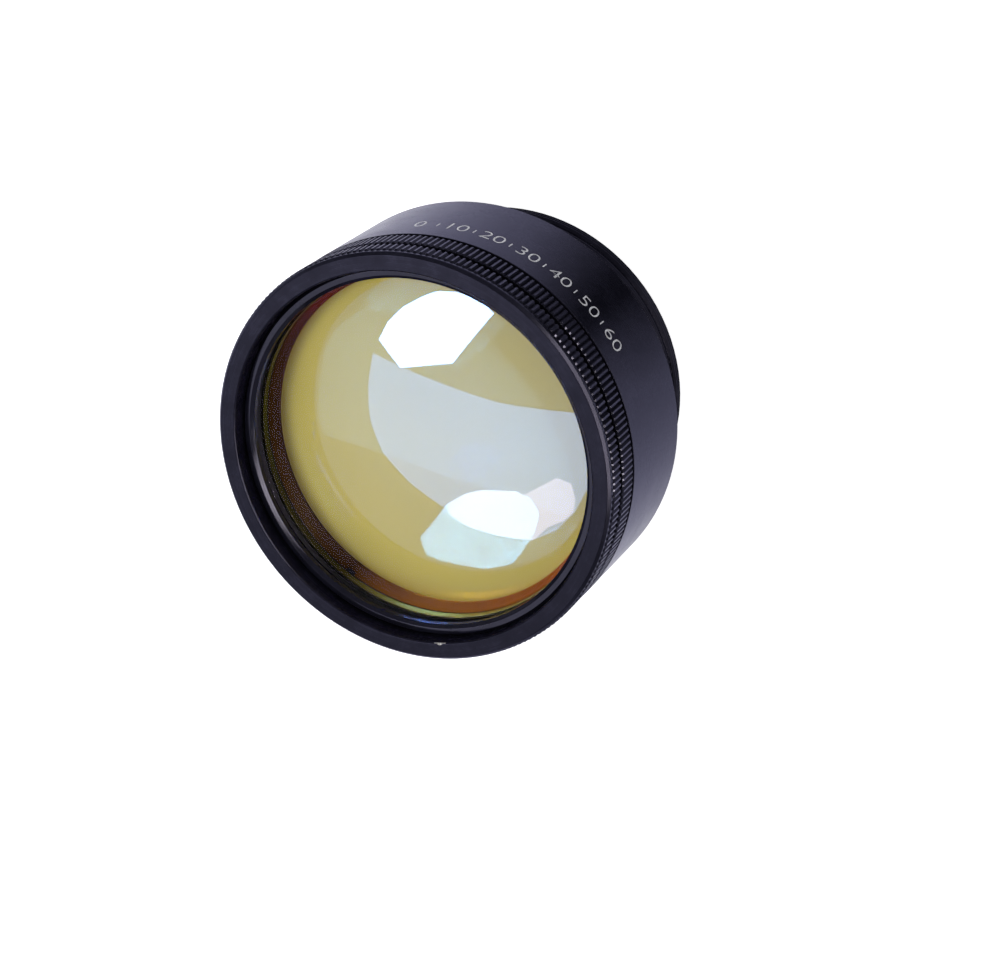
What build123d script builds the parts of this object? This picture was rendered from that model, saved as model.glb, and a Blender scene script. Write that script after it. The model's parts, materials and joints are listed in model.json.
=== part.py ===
from build123d import *
import math
import os

os.makedirs("parts", exist_ok=True)

# F-theta scan lens with a screw-on protective window.
# Millimetres. +Z is the optical axis, from the threaded tail towards the window.
# The origin is the centre of the tail's end face, which the lens stands on.
# Radial sizes are worked outwards from the front lens, heights downwards from the window.

# --- Housing -----------------------------------------------------------------
tail_length = 20.7          # end face to the body's shoulder
body_length = 34.4          # shoulder to the face that the window cell seats on
thread_d = 85.0             # crest of the M85 x 1 mounting thread
thread_relief = 0.9         # depth of a relief groove below the crests
lead_length = 3.4           # threaded lead-in at the tail's end
lead_groove = 2.2           # relief groove above the lead-in
shoulder_groove = 2.5       # relief groove under the shoulder
lead_step = 0.1             # the lead-in's crests stand this much lower
thread_chamfer = 0.75
body_wall = 3.6             # round the window cell's thread

# --- Front lens and window ---------------------------------------------------
clear_d = 80.6              # clear aperture of the front lens
front_land = 1.7            # ground edge that the front lens is held by
front_radius = 170.0
front_back_radius = 310.0
front_back_land = 2.0
front_edge = 4.6            # thickness between the lands
window_margin = 1.2         # window aperture beyond the clear aperture, per side
window_seat = 2.0           # overlap of window and seat, per side
window_thickness = 3.0
window_gap = 1.5            # window to the top of the front lens
window_bevel = 0.3

# --- Window cell -------------------------------------------------------------
cell_height = 7.1           # stands this far above the body
cell_step = 0.4             # rim radius below the body's radius
rim_chamfer = 0.7
rim_land = 0.85             # plain strip between the chamfer and the teeth
finger_groove = 1.7         # width of the groove between the two knurls
finger_groove_depth = 1.3
recess_depth = 3.5          # rim face to the retaining ring
window_ring_thickness = 2.1
window_ring_thread = 0.7    # the ring's thread beyond the window, per side
window_ring_chamfer = 0.7
window_ring_flare = 0.8     # opening cone of the ring's aperture
seat_thickness = 2.0
skirt_wall = 1.8            # between the window's pocket and the cell's thread
mouth_bevel = 0.3

# --- Knurls ------------------------------------------------------------------
cell_knurl_pitch = 1.49
body_knurl_pitch = 1.42
body_knurl_width = 6.4
knurl_depth = 0.55
knurl_drop = 0.05           # crests below the plain body's radius
knurl_core = 0.1            # the turned core stands this far below the roots

# --- Lens stack --------------------------------------------------------------
front_ring_thread = 1.0     # retaining ring's thread beyond the front lens, per side
front_ring_gap = 0.3        # ring to the window cell above it
bore_step = 3.0             # middle lens below the front lens, per side
air_gap = 0.8               # front lens to middle lens on the axis
middle_land = 2.2
middle_radius = 130.0
middle_back_radius = 300.0
middle_back_land = 3.5
middle_edge = 6.5
front_ring_step = 0.8       # straight wall above the front lens, below the flare
spacer_flange = 2.6
spacer_taper = 2.0
web_thickness = 2.5
web_lip = 1.8               # seat of the rear lens on the web
rear_lens_d = 70.0
rear_land = 2.5
rear_radius = 260.0
rear_back_radius = 70.0
rear_back_land = 4.0
rear_edge = 11.5
rear_ring_thickness = 4.2
rear_ring_thread = 1.5      # ring's thread beyond the rear lens, per side
rear_ring_flare = 2.4       # opening cone for the scanned beam
rear_ring_land = 1.2        # straight wall below the rear lens

# --- Fits, slots and seals ---------------------------------------------------
lens_clearance = 0.05       # per side, lens in its bore
window_clearance = 0.1
thread_clearance = 0.05
thread_run_out = 0.3        # a bore's step beyond the piece that it holds
lens_bevel = 0.3
slot_width = 2.4            # spanner slots
slot_depth = 1.0
slot_angle = 50.0
seal_section = 1.0          # side of each square-cut seal
seal_side = 0.15            # free width beside a seal, per side


def sag(radius, reach):
    """Height of a spherical surface between its centre and a distance from the axis."""
    return radius - math.sqrt(radius**2 - reach**2)


# Radii worked outwards.
clear_r = clear_d / 2
front_r = clear_r + front_land
front_bore_r = front_r + lens_clearance
front_ring_r = front_r + front_ring_thread
middle_r = front_r - bore_step
middle_bore_r = middle_r + lens_clearance
aperture_r = clear_r + window_margin
window_r = aperture_r + window_seat
pocket_r = window_r + window_clearance
window_ring_r = window_r + window_ring_thread
skirt_r = pocket_r + skirt_wall
body_r = skirt_r + body_wall
rim_r = body_r - cell_step
thread_r = thread_d / 2
relief_r = thread_r - thread_relief
rear_r = rear_lens_d / 2
rear_bore_r = rear_r + lens_clearance
rear_ring_r = rear_r + rear_ring_thread
web_r = rear_r - web_lip
crest_r = body_r - knurl_drop
core_r = crest_r - knurl_depth - knurl_core
neck_r = rim_r - finger_groove_depth
window_seal_inner_r = pocket_r - seal_section - 2 * seal_side
rear_seal_inner_r = rear_r - rear_back_land / 2
window_ring_bore_r = window_ring_r + thread_clearance
lead_r = thread_r - lead_step

# Heights: the housing from the end face up.
shoulder_z = tail_length
body_top_z = shoulder_z + body_length
rim_z = body_top_z + cell_height
cell_knurl_top_z = rim_z - rim_chamfer - rim_land
cell_knurl_bottom_z = body_top_z + finger_groove
body_knurl_bottom_z = body_top_z - body_knurl_width

# Heights: the optics from the rim down.
window_ring_top_z = rim_z - recess_depth
window_top_z = window_ring_top_z - window_ring_thickness
window_bottom_z = window_top_z - window_thickness
cell_bottom_z = window_bottom_z - seat_thickness
front_land_z = window_bottom_z - window_gap - sag(front_radius, clear_r)
front_back_z = front_land_z - front_edge
front_back_cap = front_r - front_back_land
front_ring_top_z = cell_bottom_z - front_ring_gap
middle_cap = middle_r - middle_land
middle_land_z = (front_back_z - sag(front_back_radius, front_back_cap) - air_gap
                 - sag(middle_radius, middle_cap))
middle_back_z = middle_land_z - middle_edge
web_bottom_z = middle_back_z - web_thickness
rear_back_z = web_bottom_z - rear_edge
rear_ring_bottom_z = rear_back_z - rear_ring_thickness


def turned(outline):
    """Solid of revolution about the optical axis from a closed outline of (radius, height)."""
    with BuildPart() as solid:
        with BuildSketch(Plane.XZ):
            with BuildLine():
                Polyline(*outline, close=True)
            make_face()
        revolve(axis=Axis.Z)
    return solid.part


def lens(edge_r, top, bottom):
    """Lens from its two faces, each (land height, cap radius, curvature, +1 if it swells upwards)."""
    top_z, top_cap, top_radius, top_way = top
    low_z, low_cap, low_radius, low_way = bottom
    top_middle = top_z + top_way * (sag(top_radius, top_cap) - sag(top_radius, top_cap / 2))
    top_apex = top_z + top_way * sag(top_radius, top_cap)
    low_middle = low_z + low_way * (sag(low_radius, low_cap) - sag(low_radius, low_cap / 2))
    low_apex = low_z + low_way * sag(low_radius, low_cap)
    with BuildPart() as solid:
        with BuildSketch(Plane.XZ):
            with BuildLine():
                ThreePointArc((0, top_apex), (top_cap / 2, top_middle), (top_cap, top_z))
                Polyline(
                    (top_cap, top_z),
                    (edge_r - lens_bevel, top_z),
                    (edge_r, top_z - lens_bevel),
                    (edge_r, low_z + lens_bevel),
                    (edge_r - lens_bevel, low_z),
                    (low_cap, low_z),
                )
                ThreePointArc((low_cap, low_z), (low_cap / 2, low_middle), (0, low_apex))
                Line((0, low_apex), (0, top_apex))
            make_face()
        revolve(axis=Axis.Z)
    return solid.part


def knurl(tip_r, pitch, bottom_z, top_z):
    """Ring of straight V teeth along the axis."""
    teeth = round(2 * math.pi * tip_r / pitch)
    root_r = tip_r - knurl_depth
    outline = []
    for tooth in range(teeth):
        for radius, turn in ((tip_r, 0), (root_r, 0.5)):
            angle = 2 * math.pi * (tooth + turn) / teeth
            outline.append((radius * math.cos(angle), radius * math.sin(angle)))
    with BuildPart() as band:
        with BuildSketch(Plane.XY.offset(bottom_z)):
            with BuildLine():
                Polyline(*outline, close=True)
            make_face()
            Circle(root_r - knurl_depth, mode=Mode.SUBTRACT)
        extrude(amount=top_z - bottom_z)
    return band.part


def seal(inner_r, outer_r, bottom_z, top_z):
    """Square-cut sealing ring, squeezed to fill its groove's height."""
    return turned([(inner_r, bottom_z), (outer_r, bottom_z), (outer_r, top_z), (inner_r, top_z)])


def slotted(ring, inner_r, outer_r, face_z):
    """Ring with two spanner slots cut across one face."""
    middle_r = (inner_r + outer_r) / 2
    reach = 2 * (outer_r - inner_r)
    for turn in (slot_angle, slot_angle + 180):
        tool = Pos(middle_r, 0, face_z) * Box(reach, slot_width, 2 * slot_depth)
        ring = ring - Rot(0, 0, turn) * tool
    return ring


def barrel():
    """One-piece housing: threaded tail, stepped lens bores and the knurled grip at its mouth."""
    skirt_bore_r = skirt_r + thread_clearance
    front_ring_bore_r = front_ring_r + thread_clearance
    rear_ring_bore_r = rear_ring_r + thread_clearance
    skirt_floor_z = front_ring_top_z - thread_run_out
    spacer_floor_z = front_back_z - spacer_flange - thread_run_out
    lead_groove_z = lead_length + lead_groove
    shoulder_groove_z = shoulder_z - shoulder_groove
    housing = turned([
        (skirt_bore_r + seal_section + seal_side, body_top_z),
        (skirt_bore_r + seal_section + seal_side, body_top_z - seal_section),
        (skirt_bore_r, body_top_z - seal_section),
        (skirt_bore_r, skirt_floor_z),
        (front_ring_bore_r, skirt_floor_z),
        (front_ring_bore_r, front_land_z - thread_run_out),
        (front_bore_r, front_land_z - thread_run_out),
        (front_bore_r, spacer_floor_z),
        (middle_bore_r, spacer_floor_z),
        (middle_bore_r, middle_back_z),
        (web_r, middle_back_z),
        (web_r, web_bottom_z),
        (rear_bore_r, web_bottom_z),
        (rear_bore_r, rear_back_z + thread_run_out),
        (rear_ring_bore_r, rear_back_z + thread_run_out),
        (rear_ring_bore_r, 0),
        (lead_r - thread_chamfer, 0),
        (lead_r, thread_chamfer),
        (lead_r, lead_length),
        (relief_r, lead_length),
        (relief_r, lead_groove_z),
        (thread_r, lead_groove_z),
        (thread_r, shoulder_groove_z),
        (relief_r, shoulder_groove_z),
        (relief_r, shoulder_z),
        (body_r, shoulder_z),
        (body_r, body_knurl_bottom_z),
        (core_r, body_knurl_bottom_z),
        (core_r, body_top_z),
    ])
    return housing + knurl(crest_r, body_knurl_pitch, body_knurl_bottom_z, body_top_z)


def window_cell():
    """Knurled holder of the protective window, which screws into the barrel's mouth."""
    seal_floor_z = window_bottom_z - seal_section
    pocket_top_z = window_top_z - thread_run_out
    holder = turned([
        (window_ring_bore_r + mouth_bevel, rim_z),
        (rim_r - rim_chamfer, rim_z),
        (rim_r, rim_z - rim_chamfer),
        (rim_r, cell_knurl_top_z),
        (core_r, cell_knurl_top_z),
        (core_r, cell_knurl_bottom_z),
        (neck_r, cell_knurl_bottom_z),
        (neck_r, body_top_z),
        (skirt_r, body_top_z),
        (skirt_r, cell_bottom_z),
        (aperture_r, cell_bottom_z),
        (aperture_r, window_bottom_z),
        (window_seal_inner_r, window_bottom_z),
        (window_seal_inner_r, seal_floor_z),
        (pocket_r, seal_floor_z),
        (pocket_r, pocket_top_z),
        (window_ring_bore_r, pocket_top_z),
        (window_ring_bore_r, rim_z - mouth_bevel),
    ])
    return holder + knurl(crest_r, cell_knurl_pitch, cell_knurl_bottom_z, cell_knurl_top_z)


def window_retaining_ring():
    """Plain threaded ring in the rim's recess that clamps the window."""
    return turned([
        (aperture_r, window_top_z),
        (window_ring_r, window_top_z),
        (window_ring_r, window_ring_top_z - window_ring_chamfer),
        (window_ring_r - window_ring_chamfer, window_ring_top_z),
        (aperture_r + window_ring_flare, window_ring_top_z),
        (aperture_r, window_ring_top_z - window_ring_flare),
    ])


def window():
    """Plane protective window with bevelled edges."""
    return turned([
        (0, window_bottom_z),
        (window_r - window_bevel, window_bottom_z),
        (window_r, window_bottom_z + window_bevel),
        (window_r, window_top_z - window_bevel),
        (window_r - window_bevel, window_top_z),
        (0, window_top_z),
    ])


def front_lens_ring():
    """Threaded ring that holds the lens stack down, flared for a clear view of the front lens."""
    ring = turned([
        (clear_r, front_land_z),
        (front_ring_r, front_land_z),
        (front_ring_r, front_ring_top_z),
        (aperture_r, front_ring_top_z),
        (clear_r, front_land_z + front_ring_step),
    ])
    return slotted(ring, aperture_r, front_ring_r, front_ring_top_z)


def lens_spacer():
    """Stepped ring between the front and middle lenses, tapered clear of the front lens's back."""
    bottom_r = middle_cap
    return turned([
        (bottom_r, middle_land_z),
        (middle_r, middle_land_z),
        (middle_r, front_back_z - spacer_flange),
        (front_r, front_back_z - spacer_flange),
        (front_r, front_back_z),
        (front_back_cap, front_back_z),
        (bottom_r, front_back_z - spacer_taper),
    ])


def rear_lens_ring():
    """Threaded ring that holds the rear lens, with a cone for the scanned beam."""
    inner_r = rear_r - rear_back_land
    ring = turned([
        (inner_r, rear_back_z),
        (inner_r, rear_back_z - rear_ring_land),
        (inner_r + rear_ring_flare, rear_ring_bottom_z),
        (rear_ring_r, rear_ring_bottom_z),
        (rear_ring_r, rear_back_z - seal_section),
        (rear_seal_inner_r, rear_back_z - seal_section),
        (rear_seal_inner_r, rear_back_z),
    ])
    return slotted(ring, inner_r + rear_ring_flare, rear_ring_r, rear_ring_bottom_z)


def front_lens():
    """Biconvex lens next to the window."""
    return lens(
        front_r,
        (front_land_z, clear_r, front_radius, 1),
        (front_back_z, front_back_cap, front_back_radius, -1),
    )


def middle_lens():
    """Positive meniscus with its hollow side towards the tail."""
    return lens(
        middle_r,
        (middle_land_z, middle_cap, middle_radius, 1),
        (middle_back_z, middle_r - middle_back_land, middle_back_radius, 1),
    )


def rear_lens():
    """Negative meniscus with its deep hollow side towards the scanner's mirrors."""
    return lens(
        rear_r,
        (web_bottom_z, rear_r - rear_land, rear_radius, 1),
        (rear_back_z, rear_r - rear_back_land, rear_back_radius, 1),
    )


def window_seal():
    """Seal in the rebate under the window."""
    inner_r = window_seal_inner_r + seal_side
    return seal(inner_r, inner_r + seal_section, window_bottom_z - seal_section, window_bottom_z)


def rear_lens_seal():
    """Seal in the rebate of the rear lens's ring."""
    inner_r = rear_seal_inner_r + seal_side
    return seal(inner_r, inner_r + seal_section, rear_back_z - seal_section, rear_back_z)


def cell_seal():
    """Seal in the rebate at the barrel's mouth."""
    inner_r = skirt_r + thread_clearance
    return seal(inner_r, inner_r + seal_section, body_top_z - seal_section, body_top_z)


pieces = {
    "barrel": barrel,
    "window_cell": window_cell,
    "window_retaining_ring": window_retaining_ring,
    "window": window,
    "window_seal": window_seal,
    "cell_seal": cell_seal,
    "front_lens_ring": front_lens_ring,
    "front_lens": front_lens,
    "lens_spacer": lens_spacer,
    "middle_lens": middle_lens,
    "rear_lens": rear_lens,
    "rear_lens_seal": rear_lens_seal,
    "rear_lens_ring": rear_lens_ring,
}

for name, make in pieces.items():
    export_step(make(), f"parts/{name}.step")
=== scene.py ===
import json
import math

import bpy
from bpy.props import FloatProperty, FloatVectorProperty, IntProperty, PointerProperty
from mathutils import Matrix, Vector


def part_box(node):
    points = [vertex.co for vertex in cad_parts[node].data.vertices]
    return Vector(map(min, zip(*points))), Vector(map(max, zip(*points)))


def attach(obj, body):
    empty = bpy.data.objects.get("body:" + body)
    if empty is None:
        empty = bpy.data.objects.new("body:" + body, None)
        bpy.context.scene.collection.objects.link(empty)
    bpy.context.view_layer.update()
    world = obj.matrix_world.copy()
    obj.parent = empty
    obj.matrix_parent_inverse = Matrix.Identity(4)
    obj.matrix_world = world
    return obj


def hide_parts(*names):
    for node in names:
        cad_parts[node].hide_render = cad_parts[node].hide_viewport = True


bl_info = {
    "name": "Scan lens",
    "version": (1, 0, 0),
    "blender": (4, 5, 0),
    "location": "View3D > Sidebar > Scan lens",
    "description": "Turned barrel, knurls, thread, coated glass and the light they stand in",
    "category": "Object",
}

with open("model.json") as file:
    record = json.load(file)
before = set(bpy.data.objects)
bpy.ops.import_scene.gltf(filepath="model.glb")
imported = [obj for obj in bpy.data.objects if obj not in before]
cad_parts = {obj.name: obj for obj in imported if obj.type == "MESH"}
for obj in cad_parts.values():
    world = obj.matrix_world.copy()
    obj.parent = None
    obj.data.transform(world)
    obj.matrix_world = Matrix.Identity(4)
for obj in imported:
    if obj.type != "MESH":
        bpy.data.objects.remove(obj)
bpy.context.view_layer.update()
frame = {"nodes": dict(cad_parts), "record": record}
MM = 0.001
UP = Vector((0, 0, 1))


def box_radius(node):
    """Largest distance of a turned node from the optical axis."""
    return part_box(node)[1].x


def mount(name):
    """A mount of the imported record."""
    return next(m for m in frame["record"]["mounts"] if m["name"] == name)


def box_heights(node):
    """Foot and top of a node."""
    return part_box(node)[0].z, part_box(node)[1].z


# Sizes that the frame gives.
BODY_R = box_radius("barrel")
BODY_TOP = box_heights("barrel")[1]
CREST_R = box_radius("window_cell")
CELL_FOOT, RIM_TOP = box_heights("window_cell")
WINDOW_R = box_radius("window")
WINDOW_FOOT, WINDOW_TOP = box_heights("window")
CLAMP_R = box_radius("window_retaining_ring")
CLAMP_TOP = box_heights("window_retaining_ring")[1]
SEAL_FOOT, SEAL_TOP = box_heights("window_seal")
SEAL_HEIGHT = SEAL_TOP - SEAL_FOOT
CELL_SEAL_R = box_radius("cell_seal")
FRONT_R = box_radius("front_lens")
FRONT_RING_R = box_radius("front_lens_ring")
FRONT_RING_FOOT, FRONT_RING_TOP = box_heights("front_lens_ring")
SPACER_TOP = box_heights("lens_spacer")[1]
MIDDLE_R = box_radius("middle_lens")
MIDDLE_FOOT = box_heights("middle_lens")[0]
REAR_R = box_radius("rear_lens")
REAR_RING_R = box_radius("rear_lens_ring")
REAR_RING_FOOT, REAR_RING_TOP = box_heights("rear_lens_ring")
SHOULDER = mount("shoulder")["pos_m"][2]
THREAD_R = mount("mount_thread")["dims"]["r_mm"] * MM
THREAD_MIDDLE = mount("mount_thread")["pos_m"][2]
THREAD_LENGTH = mount("mount_thread")["dims"]["length_mm"] * MM
THREAD_FOOT = THREAD_MIDDLE - THREAD_LENGTH / 2
THREAD_TOP = THREAD_MIDDLE + THREAD_LENGTH / 2
CLEARANCE = 0.05 * MM
THREAD_DEPTH = 0.61


def length(label, text, millimetres):
    """A size in millimetres as a property in metres."""
    return FloatProperty(
        name=label, description=text, default=millimetres * MM, min=0, subtype="DISTANCE", unit="LENGTH"
    )


def colour(label, text, value):
    """A linear colour property."""
    return FloatVectorProperty(
        name=label, description=text, default=value, size=3, min=0, max=1, subtype="COLOR"
    )


def share(label, text, value):
    """A number from 0 to 1."""
    return FloatProperty(name=label, description=text, default=value, min=0, max=1, subtype="FACTOR")


def turn_of(label, text, degrees):
    """An angle in degrees as a property in radians."""
    return FloatProperty(name=label, description=text, default=math.radians(degrees), subtype="ANGLE")


class ScanLensHousing(bpy.types.PropertyGroup):
    """Sizes and colours of the turned metal."""

    rim_step: length("Rim step", "Rim radius below the knurls' crests", 0.35)
    rim_chamfer: length("Rim chamfer", "Chamfer round the rim's face", 0.7)
    rim_land: length("Rim land", "Plain strip between the chamfer and the teeth", 0.85)
    finger_groove: length("Finger groove", "Width of the groove between the knurls", 1.7)
    finger_depth: length("Finger groove depth", "Depth below the rim's radius", 1.3)
    mouth_bevel: length("Mouth bevel", "Bevel at the mouth of the recess", 0.3)
    seat: length("Seat width", "Overlap of the window on its seat", 2.0)
    knurl_depth: length("Knurl depth", "Height of the teeth", 0.55)
    knurl_core: length("Knurl core", "Core below the teeth's roots", 0.1)
    body_knurl: length("Body knurl", "Width of the body's knurl", 6.4)
    thread_pitch: length("Thread pitch", "Pitch of the mounting thread", 1.0)
    relief: length("Thread relief", "Depth of the relief grooves", 0.9)
    lead_in: length("Lead-in", "Length of the threaded lead-in", 3.4)
    lead_step: length("Lead-in step", "The lead-in's crests stand this much lower", 0.1)
    thread_chamfer: length("Thread chamfer", "Chamfer at the tail's end", 0.75)
    edge: length("Broken edge", "Width of the broken edges", 0.12)
    black: colour("Anodised black", "Colour of the anodised metal", (0.0120, 0.0117, 0.0195))
    # Amber and olive are painted reflections: base colours that stand in for the gold coating mirrored in
    # the flare and the bore.
    amber: colour("Amber polish", "Colour that the flare beside the lens mirrors", (0.50, 0.20, 0.045))
    olive: colour("Olive polish", "Colour that the bore over the lens mirrors", (0.40, 0.36, 0.13))
    bare: colour("Bare metal", "Colour of the metal in the nick", (0.62, 0.60, 0.57))
    roughness: share("Satin", "Roughness of the anodised metal", 0.26)


class ScanLensGlass(bpy.types.PropertyGroup):
    """Sizes and colours of the glass."""

    front_radius: length("Front radius", "Radius of the front lens's outer face", 170.0)
    front_back_radius: length("Front back radius", "Radius of the front lens's inner face", 310.0)
    front_land: length("Front land", "Ground edge round the front lens's outer face", 1.7)
    front_back_land: length("Inner land", "Ground edge round the front lens's inner face", 2.0)
    rear_radius: length("Rear radius", "Radius of the rear lens's inner face", 260.0)
    rear_back_radius: length("Rear hollow", "Radius of the rear lens's hollow face", 70.0)
    rear_land: length("Rear land", "Ground edge round the rear lens's inner face", 2.5)
    rear_back_land: length("Rear back land", "Ground edge round the hollow", 4.0)
    middle_radius: length("Middle radius", "Radius of the middle lens's outer face", 130.0)
    middle_back_radius: length("Middle back radius", "Radius of the middle lens's inner face", 300.0)
    middle_land: length("Middle land", "Ground edge round the middle lens's outer face", 2.2)
    middle_back_land: length("Middle back land", "Ground edge round its inner face", 3.5)
    # The gold is a painted reflection: a plain diffuse colour and its share, standing in for what the front
    # coating reflects.
    gold: colour("Gold coating", "Colour that the front coating scatters", (0.94, 0.76, 0.145))
    painted_gold_share: share("Gold share", "How much of the light the front coating scatters", 0.56)
    violet: colour("Violet coating", "Reflection of the front coating", (0.21, 0.43, 1.0))
    violet_share: share("Violet share", "How much the front coating mirrors", 0.135)
    blue: colour("Blue coating", "Reflection of the inner coatings", (0.28, 0.63, 1.0))
    blue_share: share("Blue share", "How much the inner coatings mirror", 0.41)
    index: FloatProperty(name="Index", description="Refractive index of the glass", default=1.45)


class ScanLensScale(bpy.types.PropertyGroup):
    """The printed scale."""

    letter: length("Numeral height", "Height of the numerals", 4.6)
    first: turn_of("First", "Place of the zero", 88)
    step: turn_of("Step", "Turn to the next numeral", -10.5)
    count: IntProperty(name="Numerals", description="How many numerals", default=7)
    below_rim: length("Below the rim", "Middle of the scale below the rim's face", 21.4)
    ink: colour("Ink", "Colour of the printed scale", (0.80, 0.80, 0.82))


def chosen(group):
    """The scene's settings of one group."""
    return getattr(bpy.context.scene, group)


# --- Modelling helpers ---------------------------------------------------------

TURN_STEPS = 192
MERGE = 0.002 * MM


def select_all():
    """In edit mode, selects the whole mesh."""
    bpy.ops.mesh.select_all(action="SELECT")


def edit_all(piece=None):
    """Opens a piece, or else the active one, in edit mode with its whole mesh selected."""
    if piece:
        activate(piece)
    bpy.ops.object.mode_set(mode="EDIT")
    select_all()


def end_edit():
    """Goes back to object mode."""
    bpy.ops.object.mode_set(mode="OBJECT")


def merge_doubles():
    """Merges the selected vertices that lie on each other."""
    bpy.ops.mesh.remove_doubles(threshold=MERGE)


def face_outwards():
    """Points the selected faces outwards."""
    bpy.ops.mesh.normals_make_consistent(inside=False)


def smooth_below(piece, degrees):
    """Shades a piece smooth across the edges that are blunter than an angle."""
    activate(piece)
    bpy.ops.object.shade_smooth_by_angle(angle=math.radians(degrees))


def deselect():
    """Leaves object mode with nothing selected."""
    if bpy.context.object and bpy.context.object.mode != "OBJECT":
        end_edit()
    bpy.ops.object.select_all(action="DESELECT")


def activate(piece):
    """Makes one piece the selected and active one."""
    deselect()
    piece.select_set(True)
    bpy.context.view_layer.objects.active = piece
    return piece


def set_place(piece):
    """Moves a piece's place, turn and scale into its mesh."""
    activate(piece)
    bpy.ops.object.transform_apply(location=True, rotation=True, scale=True)
    return piece


def clean(piece):
    """Merges doubles and points every face outwards."""
    edit_all(piece)
    merge_doubles()
    face_outwards()
    end_edit()
    return piece


def draw_outline(name, outline):
    """One vertex, extruded from point to point of an outline of (radius, height)."""
    deselect()
    start = outline[0]
    bpy.ops.mesh.primitive_plane_add(size=MM, location=(start[0], 0, start[1]))
    piece = bpy.context.object
    piece.name = name
    piece.data.name = name
    set_place(piece)
    edit_all()
    bpy.ops.mesh.merge(type="CENTER")
    for here, there in zip(outline, outline[1:]):
        step = (there[0] - here[0], 0, there[1] - here[1])
        bpy.ops.mesh.extrude_vertices_move(TRANSFORM_OT_translate={"value": step})
    end_edit()
    return piece


def turned(name, outline, closed=True):
    """A piece turned about the optical axis from its outline."""
    piece = draw_outline(name, outline + outline[:1] if closed else outline)
    edit_all()
    bpy.ops.mesh.spin(steps=TURN_STEPS, angle=2 * math.pi, center=(0, 0, 0), axis=UP)
    end_edit()
    return clean(piece)


def break_edges(piece, width):
    """Rounds every sharp edge a little, as a lathe hand does, and shades the piece smooth."""
    activate(piece)
    bpy.ops.object.shade_smooth()
    bevel = piece.modifiers.new("broken edges", "BEVEL")
    bevel.width = width
    bevel.segments = 2
    bevel.limit_method = "ANGLE"
    bevel.angle_limit = math.radians(20)
    bevel.harden_normals = True
    bevel.use_clamp_overlap = True
    bpy.ops.object.modifier_apply(modifier=bevel.name)
    return piece


def join(piece, *others):
    """Joins other objects into the piece."""
    activate(piece)
    for other in others:
        other.select_set(True)
    bpy.ops.object.join()
    return piece


def repeat_round(piece, count):
    """Copies a modelled shape round the axis, evenly."""
    edit_all(piece)
    turn = 2 * math.pi * (count - 1) / count
    bpy.ops.mesh.spin(steps=count - 1, angle=turn, dupli=True, center=(0, 0, 0), axis=UP)
    select_all()
    face_outwards()
    end_edit()
    return piece


def select_where(piece, test):
    """In edit mode, selects the vertices whose place passes the test."""
    bpy.ops.mesh.select_mode(type="VERT")
    bpy.ops.mesh.select_all(action="DESELECT")
    end_edit()
    for vertex in piece.data.vertices:
        vertex.select = test(vertex.co)
    bpy.ops.object.mode_set(mode="EDIT")


def cut(piece, tool):
    """Cuts the tool's shape out of the piece and removes the tool."""
    activate(piece)
    boolean = piece.modifiers.new("cut", "BOOLEAN")
    boolean.operation = "DIFFERENCE"
    boolean.solver = "EXACT"
    boolean.object = tool
    bpy.ops.object.modifier_apply(modifier=boolean.name)
    bpy.data.objects.remove(tool)
    return piece


def paint(piece, index, test):
    """Gives a material slot to the faces whose place and direction pass the test."""
    for face in piece.data.polygons:
        if test(face.center, face.normal):
            face.material_index = index


def reach(point):
    """Distance of a point from the optical axis."""
    return math.hypot(point.x, point.y)


def finish_piece(piece, node, slot, *materials):
    """Gives a piece its materials, parents it to the root body and hides the node it stands for."""
    for material in materials:
        piece.data.materials.append(material)
    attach(piece, "root")
    if node:
        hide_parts(node)
    return piece


# --- Materials -------------------------------------------------------------------


def times(factor, tint):
    """A colour made lighter or darker."""
    return tuple(factor * c for c in tint)


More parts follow.
